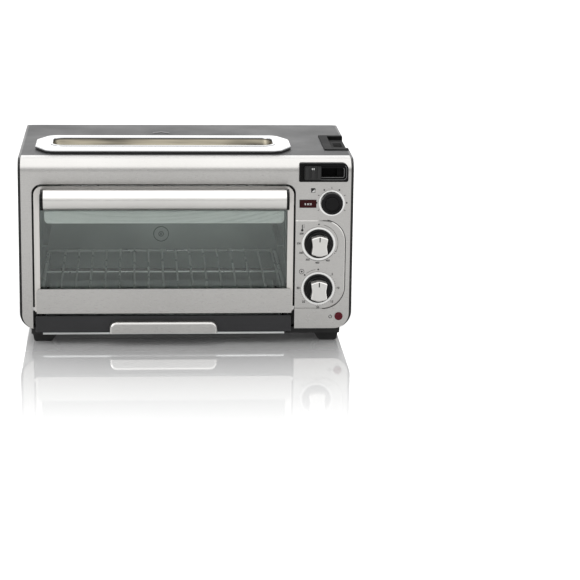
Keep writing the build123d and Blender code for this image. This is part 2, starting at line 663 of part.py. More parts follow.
def cancel_switch():
    x0, x1, z0, z1 = CANCEL
    return block(x0 + 3, x1 - 3, 7.5, 18, z0 - 1, z1 + 1)


def power_lamp():
    lens = rod_y(LAMP_X, -1.8, 12, LAMP_Z, 4.5) + rod_y(LAMP_X, -1.8, 0, LAMP_Z, 5.2)
    return chamfer(lens.edges().filter_by(GeomType.CIRCLE).sort_by(Axis.Y)[0], 0.8)


def control_board():
    return block(201, 202.6, 16, 72, 96, 205)


def timer_bell():
    dome = rod_y(TIMER_X, 53, 60, TIMER_Z, 15)
    dome = fillet(dome.edges().filter_by(GeomType.CIRCLE).sort_by(Axis.Y)[-1], 5.0)
    return dome - rod_y(TIMER_X, 52, 58.6, TIMER_Z, 12.5) + rod_y(TIMER_X, 52, 59, TIMER_Z, 2)


def terminal_block():
    terminal = block(146, 190, 214, 238, FOOT_HEIGHT + SHEET, 32)
    for i in range(3):
        terminal -= rod_z(155 + 13 * i, 226, 24, 33, 3)
    return terminal


# ---- write every sub-part ----------------------------------------------------------------
def main():
    os.makedirs("parts", exist_ok=True)
    left_side, right_side = side_panels()
    parts = {
        "fascia": fascia(),
        "side_panel_left": left_side,
        "side_panel_right": right_side,
        "top_cover": top_cover(),
        "back_panel": back_panel(),
        "base_pan": base_pan(),
        "feet": feet(),
        "back_screws": back_screws(),
        "rear_spacers": rear_spacers(),
        "cord_gland": cord_gland(),
        "front_frame": front_frame(),
        "hinge_brackets": hinge_brackets(),
        "cavity_left_wall": cavity_wall(CAVITY_LEFT, 1),
        "cavity_right_wall": cavity_wall(CAVITY_RIGHT, -1),
        "cavity_back_wall": cavity_back_wall(),
        "ceiling_plates": ceiling_plates(),
        "heating_elements": heating_elements(),
        "ceramic_ends": ceramic_ends(),
        "wire_rack": wire_rack(),
        "slot_bezel": slot_bezel(),
        "slot_bezel_base": slot_bezel_base(),
        "chute_plates": chute_plates(),
        "bread_guards": bread_guards(),
        "bread_carriage": bread_carriage(),
        "carriage_bracket": carriage_bracket(),
        "guide_bush": guide_bush(),
        "guide_rod": guide_rod(),
        "rod_mounts": rod_mounts(),
        "carriage_spring": carriage_spring(),
        "latch_magnet": latch_magnet(),
        "lever_insert": lever_insert(),
        "lever_knob": lever_knob(),
        "door_frame": door_frame(),
        "door_glass": door_glass(),
        "glass_rail": glass_rail(),
        "door_panel": door_panel(),
        "handle_bar": handle_bar(),
        "handle_ends": handle_ends(),
        "hinge_pins": hinge_pins(),
        "rack_hooks": rack_hooks(),
        "tray_pan": tray_pan(),
        "tray_front": tray_front(),
        "tray_handle": tray_handle(),
        "dial_rings": dial_rings(),
        "temp_knob": knob_skirt(TEMP_X, TEMP_Z),
        "temp_grip": knob_grip(TEMP_X, TEMP_Z),
        "timer_knob": knob_skirt(TIMER_X, TIMER_Z),
        "timer_grip": knob_grip(TIMER_X, TIMER_Z),
        "shade_knob": shade_knob(),
        "thermostat": geared_body(TEMP_X, TEMP_Z, 15, 15, 38, 26),
        "timer": group([geared_body(TIMER_X, TIMER_Z, 20, 21, 52, 26), timer_bell()]),
        "shade_control": geared_body(SHADE_X, SHADE_Z, 9, 9, 26, 22),
        "selector_bezel": selector_bezel(),
        "selector_slider": selector_slider(),
        "selector_switch": selector_switch(),
        "cancel_button": cancel_button(),
        "cancel_switch": cancel_switch(),
        "control_board": control_board(),
        "power_lamp": power_lamp(),
        "terminal_block": terminal_block(),
    }
    for name, shape in parts.items():
        save(name, shape)


main()
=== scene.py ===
import json
import math

import bmesh
import bpy
from mathutils import Matrix, Vector


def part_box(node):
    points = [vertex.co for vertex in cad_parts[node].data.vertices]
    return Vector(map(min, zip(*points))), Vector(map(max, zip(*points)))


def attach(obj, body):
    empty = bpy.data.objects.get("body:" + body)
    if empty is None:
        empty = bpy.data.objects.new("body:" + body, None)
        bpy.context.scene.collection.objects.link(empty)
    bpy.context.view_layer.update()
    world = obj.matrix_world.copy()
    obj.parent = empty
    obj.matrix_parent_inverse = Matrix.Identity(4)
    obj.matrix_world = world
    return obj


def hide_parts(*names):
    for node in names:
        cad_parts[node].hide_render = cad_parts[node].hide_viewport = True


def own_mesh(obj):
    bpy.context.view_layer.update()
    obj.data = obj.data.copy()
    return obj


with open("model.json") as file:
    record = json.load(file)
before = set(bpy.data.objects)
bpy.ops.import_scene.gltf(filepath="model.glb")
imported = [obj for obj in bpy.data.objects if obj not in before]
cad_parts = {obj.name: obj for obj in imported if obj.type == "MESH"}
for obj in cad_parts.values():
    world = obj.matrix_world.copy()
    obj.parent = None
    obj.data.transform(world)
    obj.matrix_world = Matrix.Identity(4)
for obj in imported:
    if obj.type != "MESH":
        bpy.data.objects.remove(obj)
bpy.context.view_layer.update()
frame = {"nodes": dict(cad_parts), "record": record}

MM = 0.001
MARK_LIFT = 0.08 * MM  # how far a printed mark, and a painted highlight or shade line, stands out
SHEET = 1.2 * MM  # steel of the front
UPRIGHT = math.pi / 2


# ---- places taken from the frame ----------------------------------------------------------
def centre(node):
    """Middle of a node's box."""
    low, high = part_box(node)
    return (Vector(low) + Vector(high)) / 2


FRONT_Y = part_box("side_panel_left")[0][1] - SHEET
FIELD_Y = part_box("fascia")[0][1]
TOP_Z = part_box("top_cover")[1][2]


# ---- materials ---------------------------------------------------------------------------
class Shader:
    """A node material built step by step round one Principled shader."""

    def __init__(self, name, colour, roughness, metallic=0.0, **sockets):
        self.material = bpy.data.materials.new(name)
        self.material.use_nodes = True
        self.nodes = self.material.node_tree.nodes
        self.links = self.material.node_tree.links
        self.base = self.nodes["Principled BSDF"]
        self.base.inputs["Base Color"].default_value = (*colour, 1)
        self.base.inputs["Roughness"].default_value = roughness
        self.base.inputs["Metallic"].default_value = metallic
        for socket, value in sockets.items():
            self.base.inputs[socket.replace("_", " ")].default_value = value
        self.place = self.nodes.new("ShaderNodeTexCoord").outputs["Object"]

    def noise(self, scale, detail, stretch=(1, 1, 1)):
        """Noise in the object's own space, finer along the axes with the larger stretch."""
        mapping = self.nodes.new("ShaderNodeMapping")
        mapping.inputs["Scale"].default_value = stretch
        self.links.new(self.place, mapping.inputs["Vector"])
        texture = self.nodes.new("ShaderNodeTexNoise")
        texture.inputs["Scale"].default_value = scale
        texture.inputs["Detail"].default_value = detail
        self.links.new(mapping.outputs["Vector"], texture.inputs["Vector"])
        return texture.outputs["Fac"]

    def spread(self, value, low, high, start=0.3, stop=0.7):
        """Map a value from start..stop to low..high."""
        ramp = self.nodes.new("ShaderNodeMapRange")
        for socket, number in (("From Min", start), ("From Max", stop), ("To Min", low), ("To Max", high)):
            ramp.inputs[socket].default_value = number
        self.links.new(value, ramp.inputs["Value"])
        return ramp.outputs["Result"]

    def vary_colour(self, value, dark, light):
        """Let the colour run from dark to light with a value."""
        ramp = self.nodes.new("ShaderNodeValToRGB")
        ramp.color_ramp.elements[0].position = 0.3
        ramp.color_ramp.elements[1].position = 0.7
        ramp.color_ramp.elements[0].color = (*dark, 1)
        ramp.color_ramp.elements[1].color = (*light, 1)
        self.links.new(value, ramp.inputs["Fac"])
        self.links.new(ramp.outputs["Color"], self.base.inputs["Base Color"])
        return self

    def vary_roughness(self, value, low, high):
        """Let the roughness run from low to high with a value."""
        self.links.new(self.spread(value, low, high), self.base.inputs["Roughness"])
        return self

    def bump(self, value, distance):
        """Relief of this depth that follows a value."""
        bump = self.nodes.new("ShaderNodeBump")
        bump.inputs["Distance"].default_value = distance
        bump.inputs["Strength"].default_value = 1.0
        self.links.new(value, bump.inputs["Height"])
        self.links.new(bump.outputs["Normal"], self.base.inputs["Normal"])
        return self


def shade(colour, factor):
    """The colour made darker or lighter by a factor."""
    return tuple(channel * factor for channel in colour)


def brushed(name, colour, roughness, stretch=(2, 60, 60), depth=0.00004, clouding=0.045):
    """Brushed or rolled sheet metal; the grain runs along the axis with the small stretch."""
    shader = Shader(name, colour, roughness, 1.0)
    grain = shader.noise(60, 6, stretch)
    clouds = shader.noise(6, 3)
    shader.vary_colour(clouds, shade(colour, 1 - clouding), shade(colour, 1 + clouding))
    shader.vary_roughness(grain, roughness * 0.85, roughness * 1.2)
    return shader.bump(grain, depth).material


def moulded(name, colour, roughness, grain_scale=900, depth=0.00006, **sockets):
    """Moulded or painted surface with a fine texture and faint wear in its gloss."""
    sockets.setdefault("Specular_IOR_Level", 0.25)
    shader = Shader(name, colour, roughness, 0.0, **sockets)
    grain = shader.noise(grain_scale, 2)
    clouds = shader.noise(14, 4)
    shader.vary_colour(clouds, shade(colour, 0.88), shade(colour, 1.12))
    shader.vary_roughness(clouds, roughness * 0.85, roughness * 1.15)
    return shader.bump(grain, depth).material


def polished(name, colour, roughness):
    """Polished or plated metal with a faint haze."""
    shader = Shader(name, colour, roughness, 1.0)
    haze = shader.noise(30, 5)
    shader.vary_roughness(haze, roughness * 0.6, roughness * 1.5)
    return shader.vary_colour(haze, shade(colour, 0.96), colour).material


def slot_chrome():
    """Polished ring whose sleeve, below the lip and inside the mouth, is plain tan-toned sheet, with a
    painted shadow band just under the lip.
    """
    gloss, sleeve_gloss = 0.08, 0.35
    lip, end_gap, sleeve_half_depth = 1.1 * MM, 0.6 * MM, 30.2 * MM
    shade_top, shade_bottom = 2.2 * MM, 3.6 * MM  # the painted shadow band under the lip fades between these
    plating, shadow = (0.33, 0.333, 0.337), (0.03, 0.028, 0.025)
    tan, dark_tan = (0.22, 0.20, 0.155), (0.06, 0.055, 0.045)
    shader = Shader("slot_chrome", plating, gloss, 1.0)
    low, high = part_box("slot_bezel")
    mouth_low, mouth_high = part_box("chute_plates")
    split = shader.nodes.new("ShaderNodeSeparateXYZ")
    shader.links.new(shader.place, split.inputs["Vector"])

    def compare(value, limit, width):
        """One where the value is within width of the limit, and nothing elsewhere."""
        node = shader.nodes.new("ShaderNodeMath")
        node.operation = "COMPARE"
        node.inputs[1].default_value, node.inputs[2].default_value = limit, width
        shader.links.new(value, node.inputs[0])
        return node.outputs["Value"]

    middle = (mouth_low + mouth_high) / 2
    mask = compare(split.outputs["X"], middle.x, (mouth_high.x - mouth_low.x) / 2 - end_gap)
    for value in (compare(split.outputs["Y"], middle.y, sleeve_half_depth),
                  compare(split.outputs["Z"], low.z, high.z - low.z - lip)):
        both = shader.nodes.new("ShaderNodeMath")
        both.operation = "MULTIPLY"
        shader.links.new(mask, both.inputs[0])
        shader.links.new(value, both.inputs[1])
        mask = both.outputs["Value"]
    streaks = shader.nodes.new("ShaderNodeValToRGB")
    streaks.color_ramp.elements[0].position = 0.35
    streaks.color_ramp.elements[1].position = 0.6
    streaks.color_ramp.elements[0].color = (*dark_tan, 1)
    streaks.color_ramp.elements[1].color = (*tan, 1)
    shader.links.new(shader.noise(9, 2, (1, 4, 12)), streaks.inputs["Fac"])
    # painted shadow: towards the lip the sleeve's tan turns to the shadow colour
    edge = shader.nodes.new("ShaderNodeMix")
    edge.data_type = "RGBA"
    edge.inputs["A"].default_value = (*shadow, 1)
    shader.links.new(streaks.outputs["Color"], edge.inputs["B"])
    shader.links.new(shader.spread(split.outputs["Z"], 1, 0, high.z - shade_bottom, high.z - shade_top),
                     edge.inputs["Factor"])
    colour = shader.nodes.new("ShaderNodeMix")
    colour.data_type = "RGBA"
    colour.inputs["A"].default_value = (*plating, 1)
    shader.links.new(edge.outputs["Result"], colour.inputs["B"])
    shader.links.new(mask, colour.inputs["Factor"])
    shader.links.new(colour.outputs["Result"], shader.base.inputs["Base Color"])
    shader.links.new(shader.spread(mask, gloss, sleeve_gloss, 0, 1), shader.base.inputs["Roughness"])
    return shader.material


def clear_glass():
    """Lightly tinted pane: a clear body and a mirror that grows towards the edge of sight."""
    shader = Shader("tinted_glass", (0.5, 0.55, 0.53), 0.03, 0.0)
    clear = shader.nodes.new("ShaderNodeBsdfTransparent")
    clear.inputs["Color"].default_value = (0.80, 0.83, 0.815, 1)
    mirror = shader.nodes.new("ShaderNodeBsdfGlossy")
    mirror.inputs["Roughness"].default_value = 0.03
    mirror.inputs["Color"].default_value = (0.95, 1.0, 0.98, 1)
    fresnel = shader.nodes.new("ShaderNodeFresnel")
    fresnel.inputs["IOR"].default_value = 1.52
    mix = shader.nodes.new("ShaderNodeMixShader")
    shader.links.new(fresnel.outputs["Fac"], mix.inputs["Fac"])
    shader.links.new(clear.outputs["BSDF"], mix.inputs[1])
    shader.links.new(mirror.outputs["BSDF"], mix.inputs[2])
    shader.links.new(mix.outputs["Shader"], shader.nodes["Material Output"].inputs["Surface"])
    shader.nodes.remove(shader.base)
    return shader.material


def copper_coil():
    """Copper wire wound in close turns."""
    shader = Shader("coil_copper", (0.5, 0.2, 0.08), 0.35, 1.0)
    wave = shader.nodes.new("ShaderNodeTexWave")
    wave.wave_type = "BANDS"
    wave.bands_direction = "Z"
    wave.inputs["Scale"].default_value = 320
    shader.links.new(shader.place, wave.inputs["Vector"])
    return shader.bump(wave.outputs["Fac"], 0.0003).material


STEEL = (0.385, 0.378, 0.367)
FINE = (500, 0.00001)  # grain scale and depth of a glossy moulding
MATERIALS = {
    "brushed_steel": brushed("brushed_steel", STEEL, 0.30),
    "satin_metal": brushed("satin_metal", (0.52, 0.512, 0.495), 0.33),
    "chrome": polished("chrome", (0.80, 0.80, 0.80), 0.06),
    "rack_wire": polished("rack_wire", (0.74, 0.74, 0.74), 0.3),
    "casing_black": moulded("casing_black", (0.006, 0.006, 0.006), 0.36),
    "cover_grey": moulded("cover_grey", (0.012, 0.012, 0.0125), 0.42, Specular_IOR_Level=0.1),
    "base_black": moulded("base_black", (0.005, 0.005, 0.005), 0.45),
    "gloss_black": moulded("gloss_black", (0.002, 0.002, 0.0022), 0.14, *FINE, Specular_IOR_Level=0.13),
    "foot_black": moulded("foot_black", (0.005, 0.005, 0.005), 0.6),
    "cavity_steel": brushed("cavity_steel", (0.44, 0.452, 0.448), 0.4, (6, 6, 30), clouding=0.3),
    "tinted_glass": clear_glass(),
    "button_red": moulded("button_red", (0.022, 0.001, 0.0015), 0.25, *FINE, Specular_IOR_Level=0.1),
    "lamp_red": moulded("lamp_red", (0.05, 0.002, 0.006), 0.2, *FINE, Specular_IOR_Level=0.15),
    "heater_sheath": moulded("heater_sheath", (0.10, 0.09, 0.085), 0.5),
    "ceramic": moulded("ceramic", (0.72, 0.70, 0.64), 0.6),
    "plain_steel": brushed("plain_steel", (0.48, 0.48, 0.47), 0.35, (20, 20, 20)),
    "spring_steel": polished("spring_steel", (0.40, 0.40, 0.41), 0.25),
    "brass": polished("brass", (0.62, 0.45, 0.18), 0.25),
    "magnet": copper_coil(),
    "board_green": moulded("board_green", (0.02, 0.11, 0.04), 0.35),
    "switch_plastic": moulded("switch_plastic", (0.06, 0.06, 0.06), 0.5),
}
# black for printed marks, also used for the painted shade lines at the control field's edge and round the
# back-wall pressing
PRINT_AND_SHADE_BLACK = moulded("print_and_shade_black", (0.006, 0.006, 0.006), 0.5)
PRINT_WHITE = moulded("print_white", (0.45, 0.45, 0.44), 0.5)


def finish_cad_nodes():
    """Give each CAD node the material of its slot in the record, and a few nodes a closer match."""
    for entry in frame["record"]["subparts"]:
        node = frame["nodes"][entry["node"]]
        node.data.materials.clear()
        node.data.materials.append(MATERIALS[entry["material_slot"]])
    well = moulded("well_black", (0.004, 0.004, 0.004), 0.6, Specular_IOR_Level=0.04)
    closer = {
        "slot_bezel": slot_chrome(),
        "glass_rail": brushed("rail_steel", (0.80, 0.80, 0.79), 0.5, (3, 30, 30)),
        "door_frame": brushed("door_steel", (0.52, 0.505, 0.485), 0.42),
        "dial_rings": polished("ring_metal", (0.66, 0.66, 0.65), 0.16),
        "lever_insert": well,
        "lever_knob": well,
        "selector_switch": well,
        "selector_bezel": moulded("bezel_black", (0.003, 0.003, 0.003), 0.35, *FINE, Specular_IOR_Level=0.07),
        "selector_slider": moulded("slider_black", (0.011, 0.011, 0.011), 0.3),
        "tray_front": moulded("tray_black", (0.014, 0.014, 0.015), 0.35),
    }
    for name, material in closer.items():
        frame["nodes"][name].data.materials[0] = material


# ---- pieces ------------------------------------------------------------------------------
def piece(name, mesh_maker, material, body):
    """Build a mesh piece with mesh_maker(bm), and let it ride on its body."""
    mesh = bpy.data.meshes.new(name)
    bm = bmesh.new()
    mesh_maker(bm)
    bmesh.ops.recalc_face_normals(bm, faces=bm.faces)
    bm.to_mesh(mesh)
    bm.free()
    obj = bpy.data.objects.new(name, mesh)
    bpy.context.collection.objects.link(obj)
    mesh.materials.append(material)
    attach(obj, body)
    return obj


def prism(bm, points, y):
    """Flat shape given in x and z, with its back at depth y, raised towards the viewer; it makes the printed
    marks and the painted highlight and shade lines.
    """
    back = [bm.verts.new((x, y, z)) for x, z in points]
    front = [bm.verts.new((x, y - MARK_LIFT, z)) for x, z in points]
    bm.faces.new(front)
    bm.faces.new(back[::-1])
    count = len(points)
    for i in range(count):
        j = (i + 1) % count
        bm.faces.new((back[i], back[j], front[j], front[i]))


def bar(x, z, angle, length, width):
    """Corners of a small bar centred on x, z whose length points along angle."""
    along = Vector((math.cos(angle), math.sin(angle))) * length / 2
    across = Vector((-math.sin(angle), math.cos(angle))) * width / 2
    middle = Vector((x, z))
    return [tuple(middle + a * along + b * across) for a, b in ((-1, -1), (1, -1), (1, 1), (-1, 1))]


def disc(x, z, radius, count=20):
    """Corners of a round dot centred on x, z."""
    return [(x + radius * math.cos(a), z + radius * math.sin(a))
            for a in (2 * math.pi * i / count for i in range(count))]


def arc_band(x, z, radius, width, start, stop, count):
    """Outer and inner points of a curved stroke from angle start to angle stop, in degrees."""
    angles = [math.radians(start + (stop - start) * i / count) for i in range(count + 1)]
    return [[(x + reach * math.cos(a), z + reach * math.sin(a)) for a in angles]
            for reach in (radius + width / 2, radius - width / 2)]


def stroke(bm, x, z, radius, width, start, stop, y, count=32):
    """Curved stroke made of short prisms, so that every face is flat."""
    outer, inner = arc_band(x, z, radius, width, start, stop, count)
    for i in range(count):
        prism(bm, [inner[i], outer[i], outer[i + 1], inner[i + 1]], y)


def figure(name, text, x, z, y, size, body, material):
    """One generic number on a dial scale, centred on x, z and lying on the front at y."""
    curve = bpy.data.curves.new(name, "FONT")
    curve.body = text
    curve.size = size
    curve.extrude = MARK_LIFT / 2
    curve.offset = 0.12 * MM
    curve.align_x, curve.align_y = "CENTER", "CENTER"
    obj = bpy.data.objects.new(name, curve)
    bpy.context.collection.objects.link(obj)
    obj.rotation_euler = (math.pi / 2, 0, 0)
    obj.location = (x, y - MARK_LIFT / 2, z)
    curve.materials.append(material)
    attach(obj, body)


def around(middle, radius, degrees):
    """Place at this radius and angle round a middle in x and z, with the angle in radians."""
    a = math.radians(degrees)
    return middle.x + radius * math.cos(a), middle.z + radius * math.sin(a), a


def dial_marks():
    """Printed scale round each knob, with generic marks and figures."""
    temp, timer, shade_dial = (centre(node) for node in ("temp_knob", "timer_knob", "shade_knob"))

    inner, outer = 22.6 * MM, 24.2 * MM  # radii of the scales on the field
    top, line, tick = 90, 0.4 * MM, 0.6 * MM

    def temp_scale(bm):
        stroke(bm, temp.x, temp.z, inner, 0.45 * MM, 205, 325, FIELD_Y)
        stroke(bm, temp.x, temp.z, outer + 0.3 * MM, 0.45 * MM, -25, 75, FIELD_Y)
        x, z, _ = around(temp, outer + 0.4 * MM, top)
        prism(bm, disc(x, z, 1.0 * MM), FIELD_Y)
        for degrees in (328, 334):
            x, z, a = around(temp, outer, degrees)
            prism(bm, bar(x, z, a, 2.0 * MM, tick), FIELD_Y)

    def timer_scale(bm):
        dot = 1.1 * MM
        x, z, _ = around(timer, outer, top)
        prism(bm, disc(x, z, dot), FIELD_Y)
        for minute in range(31):
            x, z, a = around(timer, inner, 45 - 7.5 * minute)
            prism(bm, bar(x, z, a, (1.5 if minute % 6 == 0 else 0.8) * MM, line), FIELD_Y)
        stroke(bm, timer.x, timer.z, outer, line, 98, 128, FIELD_Y)
        x, z, _ = around(timer, outer, 135)
        prism(bm, disc(x, z, dot), FIELD_Y)

    def shade_scale(bm):
        for i in range(9):
            x, z, a = around(shade_dial, 19 * MM, 210 - 30 * i)
            if i % 2:
                prism(bm, disc(x, z, 1.05 * MM), FRONT_Y)
            else:
                prism(bm, bar(x, z, a, 2.2 * MM, 0.7 * MM), FRONT_Y)

    for name, maker in (("temp_scale", temp_scale), ("timer_scale", timer_scale),
                        ("shade_scale", shade_scale)):
        piece(name, maker, PRINT_AND_SHADE_BLACK, "housing")
    for i, degrees in enumerate((150, 180, 209, 237, 267, 298)):
        x, z, _ = around(temp, 25.2 * MM, degrees)
        figure(f"temp_figure_{i}", str(200 + 50 * i), x, z, FIELD_Y, 3.4 * MM, "housing", PRINT_AND_SHADE_BLACK)
    for i in range(6):
        x, z, _ = around(timer, 25.4 * MM, 45 - 45 * i)
        figure(f"timer_figure_{i}", str(5 + 5 * i), x, z, FIELD_Y, 4.0 * MM, "housing", PRINT_AND_SHADE_BLACK)


def icons():
    """Small generic signs printed on the front."""
    temp, timer, shade_dial, lamp, button = (
        centre(n) for n in ("temp_knob", "timer_knob", "shade_knob", "power_lamp", "cancel_button"))

    def thermometer(bm):
        x, z = temp.x - 21 * MM, temp.z + 20 * MM
        prism(bm, disc(x, z - 3.0 * MM, 1.6 * MM), FIELD_Y)
        prism(bm, bar(x, z + 0.8 * MM, UPRIGHT, 7 * MM, 1.1 * MM), FIELD_Y)
        for i in range(3):
            prism(bm, bar(x + 2.2 * MM, z + (4.0 - 1.8 * i) * MM, 0, 1.6 * MM, 0.5 * MM), FIELD_Y)

    def clock(bm):
        x, z = timer.x - 21 * MM, timer.z + 21.5 * MM
        stroke(bm, x, z, 3.0 * MM, 0.6 * MM, 0, 360, FIELD_Y)
        prism(bm, disc(x, z, 1.2 * MM), FIELD_Y)

    bread_x, bread_z = shade_dial.x - 23.5 * MM, shade_dial.z + 16 * MM

    def bread(bm):
        crust = [(-2.6, -3.0), (2.6, -3.0), (2.6, 0.6), (3.2, 1.6), (2.4, 2.8), (-2.4, 2.8), (-3.2, 1.6),
                 (-2.6, 0.6)]
        prism(bm, [(bread_x + x * MM, bread_z + z * MM) for x, z in crust], FRONT_Y)

    def bread_light_half(bm):
        half = [(-2.0, -2.4), (2.0, -2.4), (2.0, 1.4)]
        prism(bm, [(bread_x + x * MM, bread_z + z * MM) for x, z in half], FRONT_Y - MARK_LIFT)

    def power(bm):
        x, z = lamp.x - 10.6 * MM, lamp.z - 0.5 * MM
        stroke(bm, x, z, 1.9 * MM, 0.7 * MM, 125, 415, FRONT_Y)
        prism(bm, bar(x, z + 1.6 * MM, UPRIGHT, 2.6 * MM, 0.7 * MM), FRONT_Y)

    def cancel_mark(bm):
        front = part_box("cancel_button")[0][1]
        for side in (-1, 1):
            prism(bm, bar(button.x, button.z, side * 0.7, 3.6 * MM, 0.8 * MM), front)
            prism(bm, bar(button.x + side * 3.6 * MM, button.z, UPRIGHT, 2.4 * MM, 1.2 * MM), front)

    def slider_marks(bm):
        low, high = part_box("selector_slider")
        x = (low[0] + high[0]) / 2
        for side in (-1, 1):
            prism(bm, bar(x + side * 1.0 * MM, high[2] - 3.0 * MM, UPRIGHT, 2.2 * MM, 0.9 * MM), low[1])

    printed = (("thermometer_icon", thermometer, PRINT_AND_SHADE_BLACK, "housing"),
               ("clock_icon", clock, PRINT_AND_SHADE_BLACK, "housing"),
               ("bread_icon", bread, PRINT_AND_SHADE_BLACK, "housing"),
               ("bread_icon_half", bread_light_half, PRINT_WHITE, "housing"),
               ("power_icon", power, PRINT_AND_SHADE_BLACK, "housing"),
               ("cancel_mark", cancel_mark, PRINT_WHITE, "cancel"),
               ("slider_marks", slider_marks, PRINT_WHITE, "selector"))
    for name, maker, ink, body in printed:
        piece(name, maker, ink, body)


def selector_rim_highlights():
    """Painted highlights along the bottom and right edges of the two nested rims round the selector's
    channel, where the ridges catch the light.
    """
    low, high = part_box("selector_bezel")
    start, width, side_margin, edge_margin = 26 * MM, 0.55 * MM, 2.4 * MM, 2.9 * MM
    left, face = low[0] + start, low[1]

    def rims(bm):
        for inset, radius in ((0, 4.2 * MM), (3.0 * MM, 2.4 * MM)):
            right = high[0] - side_margin - inset
            base, crown = low[2] + edge_margin + inset, high[2] - edge_margin - inset
            prism(bm, bar((left + right - radius) / 2, base, 0, right - radius - left, width), face)
            stroke(bm, right - radius, base + radius, radius, width, -90, 0, face, count=8)
            prism(bm, bar(right, (base + crown) / 2, UPRIGHT, crown - base - 2 * radius, width), face)
            stroke(bm, right - radius, crown - radius, radius, width, 0, 60, face, count=8)

    # the light grey strokes are painted highlights on the rims
    piece("selector_rim_highlights", rims, moulded("rim_highlight_grey", (0.10, 0.10, 0.10), 0.3), "housing")


def field_edge_shade():
    """Painted shade down the right side of the raised control field, where its edge meets the front."""
    right, bottom, top, radius, gap = 200.9 * MM, 46.0 * MM, 160.8 * MM, 28.4 * MM, 0.4 * MM
    side_width, upper_width, lower_width = 1.1 * MM, 1.0 * MM, 0.9 * MM

    def shade_strokes(bm):
        straight = top - bottom - 2 * radius + 2 * gap
        prism(bm, bar(right, (bottom + top) / 2, UPRIGHT, straight, side_width), FRONT_Y)
        x = right - radius
        stroke(bm, x, top + gap - radius, radius, upper_width, 0, 80, FRONT_Y, count=16)
        stroke(bm, x, bottom - gap + radius, radius, lower_width, -90, 0, FRONT_Y, count=16)

    # these dark strokes are painted shade, not print
    piece("field_edge_shade", shade_strokes, PRINT_AND_SHADE_BLACK, "housing")


def wall_pressing_shade():
    """Painted shade lines round the edges of the round pressing in the back wall of the cavity, in place of
    the shading of its relief.
    """
    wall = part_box("cavity_back_wall")[0][1]
    x, z = -29.3 * MM, 88.0 * MM  # middle of the pressing

    def rings(bm):
        for radius, width in ((10.2 * MM, 0.8 * MM), (3.2 * MM, 0.9 * MM), (1.0 * MM, 0.8 * MM)):
            stroke(bm, x, z, radius, width, 0, 360, wall)

    # these dark strokes are painted shade, not print
    piece("wall_pressing_shade", rings, PRINT_AND_SHADE_BLACK, "housing")


def cover_chevron():
    """Shallow raised chevron on the cover behind the slot."""
    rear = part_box("slot_bezel")[1][1] + 44 * MM
    x = centre("slot_bezel").x - 2 * MM
    half_width, tip, arm, height = 11 * MM, 10 * MM, 9 * MM, 0.5 * MM

    def relief(bm):
        for side in (-1, 1):
            points = [(x, rear + tip), (x + side * half_width, rear),
                      (x + side * half_width, rear - arm), (x, rear + tip - arm)]
            low = [bm.verts.new((a, b, TOP_Z)) for a, b in points]
            high = [bm.verts.new((a, b, TOP_Z + height)) for a, b in points]
            bm.faces.new(low)
            bm.faces.new(high[::-1])
            for i in range(4):
                j = (i + 1) % 4
                bm.faces.new((low[i], low[j], high[j], high[i]))

    piece("cover_chevron", relief, MATERIALS["casing_black"], "housing")


def knob_pointers():
    """Black pointer line on each silver grip."""
    below_top, length, width = 3.6 * MM, 6.0 * MM, 1.5 * MM
    for dial in ("temp", "timer"):
        low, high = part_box(dial + "_grip")
        x, top, front = (low[0] + high[0]) / 2, high[2], low[1]

        def line(bm):
            prism(bm, bar(x, top - below_top, UPRIGHT, length, width), front)

        piece(dial + "_pointer", line, PRINT_AND_SHADE_BLACK, dial + "_dial")


def return_spring():
    """Coil spring round the guide rod, built at its rest length in place of the hidden CAD spring."""
    low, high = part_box("carriage_spring")
    wire, pitch, travel, sides, steps = 0.6 * MM, 6.6 * MM, 75 * MM, 8, 24
    axis = (Vector(low) + Vector(high)) / 2
    radius = (high[0] - low[0]) / 2 - wire
    bottom, top = low[2] + wire, high[2] - wire
    count = int((top - bottom) / pitch * steps)
    upward = Vector((0, 0, 1))

    def coil(bm):
        rings = []
        for i in range(count + 1):
            turn = 2 * math.pi * i / steps
            z = bottom + (top - bottom) * i / count
            outward = Vector((math.cos(turn), math.sin(turn), 0))
            middle = Vector((axis.x, axis.y, z)) + outward * radius
            rings.append([bm.verts.new(middle + wire * (math.cos(a) * outward + math.sin(a) * upward))
                          for a in (2 * math.pi * k / sides for k in range(sides))])
        for lower, upper in zip(rings, rings[1:]):
            for k in range(sides):
                bm.faces.new((lower[k], lower[(k + 1) % sides], upper[(k + 1) % sides], upper[k]))
        bm.faces.new(rings[0][::-1])
        bm.faces.new(rings[-1])

    spring = piece("return_spring", coil, MATERIALS["spring_steel"], "housing")
    for face in spring.data.polygons:
        face.use_smooth = True
    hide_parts("carriage_spring")
    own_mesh(spring)


